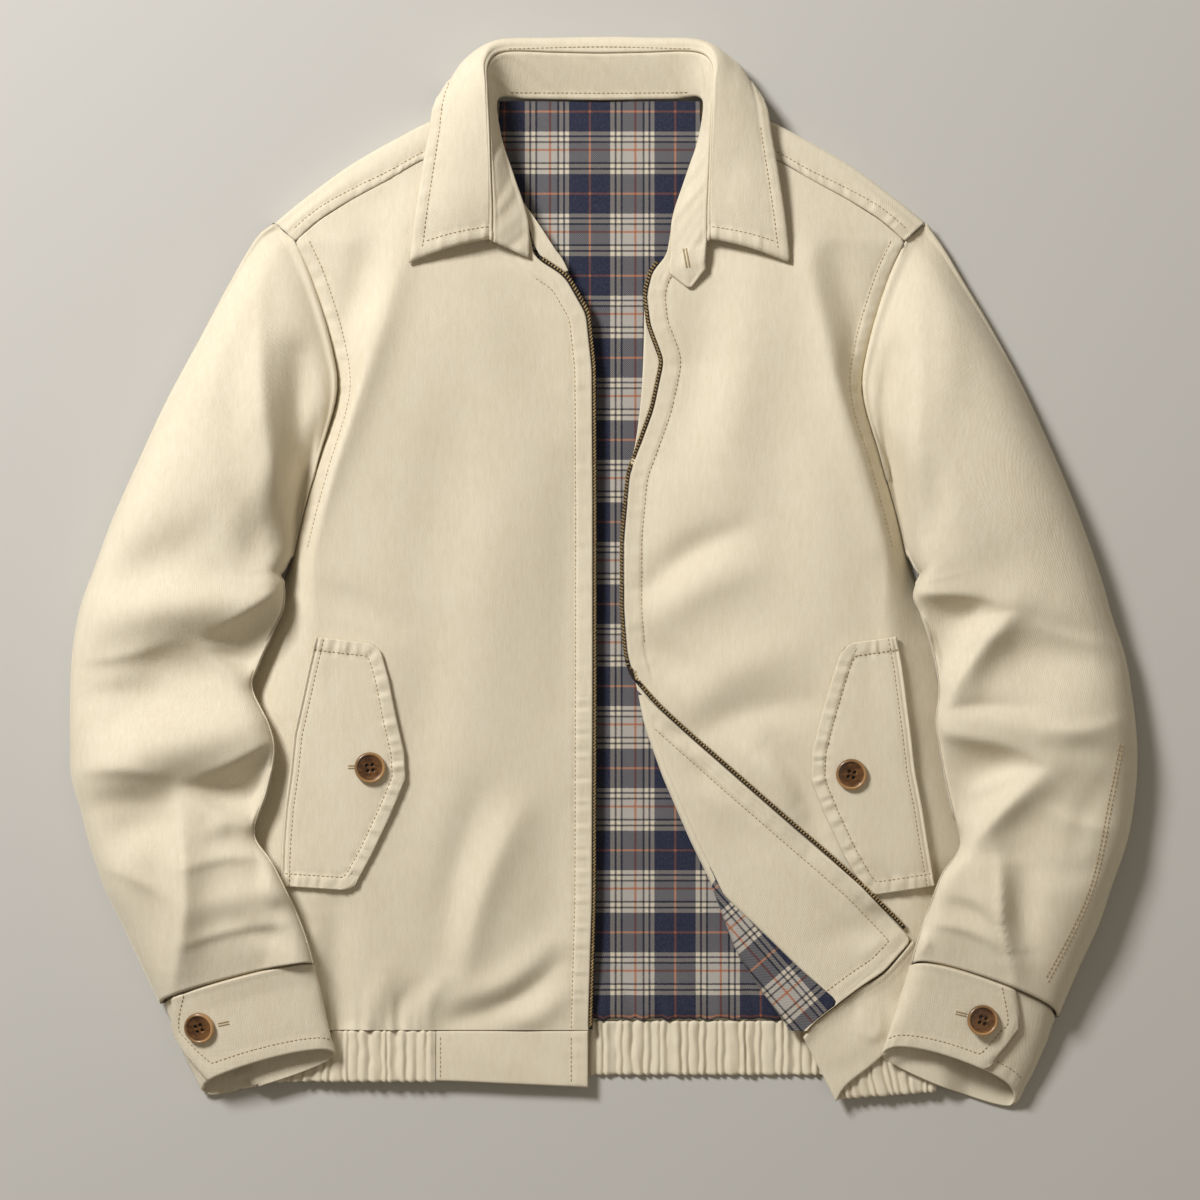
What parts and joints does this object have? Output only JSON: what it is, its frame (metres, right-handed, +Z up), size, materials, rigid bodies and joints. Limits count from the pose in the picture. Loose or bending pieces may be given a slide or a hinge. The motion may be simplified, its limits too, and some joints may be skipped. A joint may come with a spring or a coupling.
{
  "type": "harrington jacket",
  "caption": "Zip-front harrington jacket lying flat: folded collar, two buttoned pocket flaps, pointed cuffs, gathered hem, and one front corner turned back over plaid lining.",
  "frame": {"origin": "middle of the jacket's length and width, on the surface that it lies on", "axes": "+Z up from the surface, +Y towards the collar, +X towards the wearer's left sleeve"},
  "size_m": [0.724, 0.7256, 0.0501],
  "materials": {
    "shell_cloth": "brushed cotton twill, cream",
    "plaid_lining": "brushed plaid in navy, cream and rust",
    "horn_button": "mottled brown horn look",
    "zip_tape": "dark brown woven tape with antique brass teeth",
    "zip_metal": "antique brass"
  },
  "bodies": {
    "root": {"back": "shell_cloth", "back_lining": "plaid_lining", "button_cuff_left": "horn_button", "button_cuff_right": "horn_button", "button_pocket_left": "horn_button", "button_pocket_right": "horn_button", "collar_leaf": "shell_cloth", "collar_stand": "shell_cloth", "cuff_left": "shell_cloth", "cuff_right": "shell_cloth", "facing_left": "shell_cloth", "facing_left_neck": "shell_cloth", "facing_right": "shell_cloth", "front_left": "shell_cloth", "front_right": "shell_cloth", "hem_elastic_back": "shell_cloth", "hem_elastic_left": "shell_cloth", "hem_elastic_right": "shell_cloth", "hem_front_left": "shell_cloth", "hem_front_right": "shell_cloth", "lining_left": "plaid_lining", "pocket_flap_left": "shell_cloth", "pocket_flap_right": "shell_cloth", "shoulder_left": "shell_cloth", "shoulder_right": "shell_cloth", "sleeve_left_top": "shell_cloth", "sleeve_left_under": "shell_cloth", "sleeve_right_top": "shell_cloth", "sleeve_right_under": "shell_cloth", "zip_slider": "zip_metal", "zip_tape_left": "zip_tape", "zip_tape_left_turned": "zip_tape", "zip_tape_right": "zip_tape"}
  },
  "joints": []
}
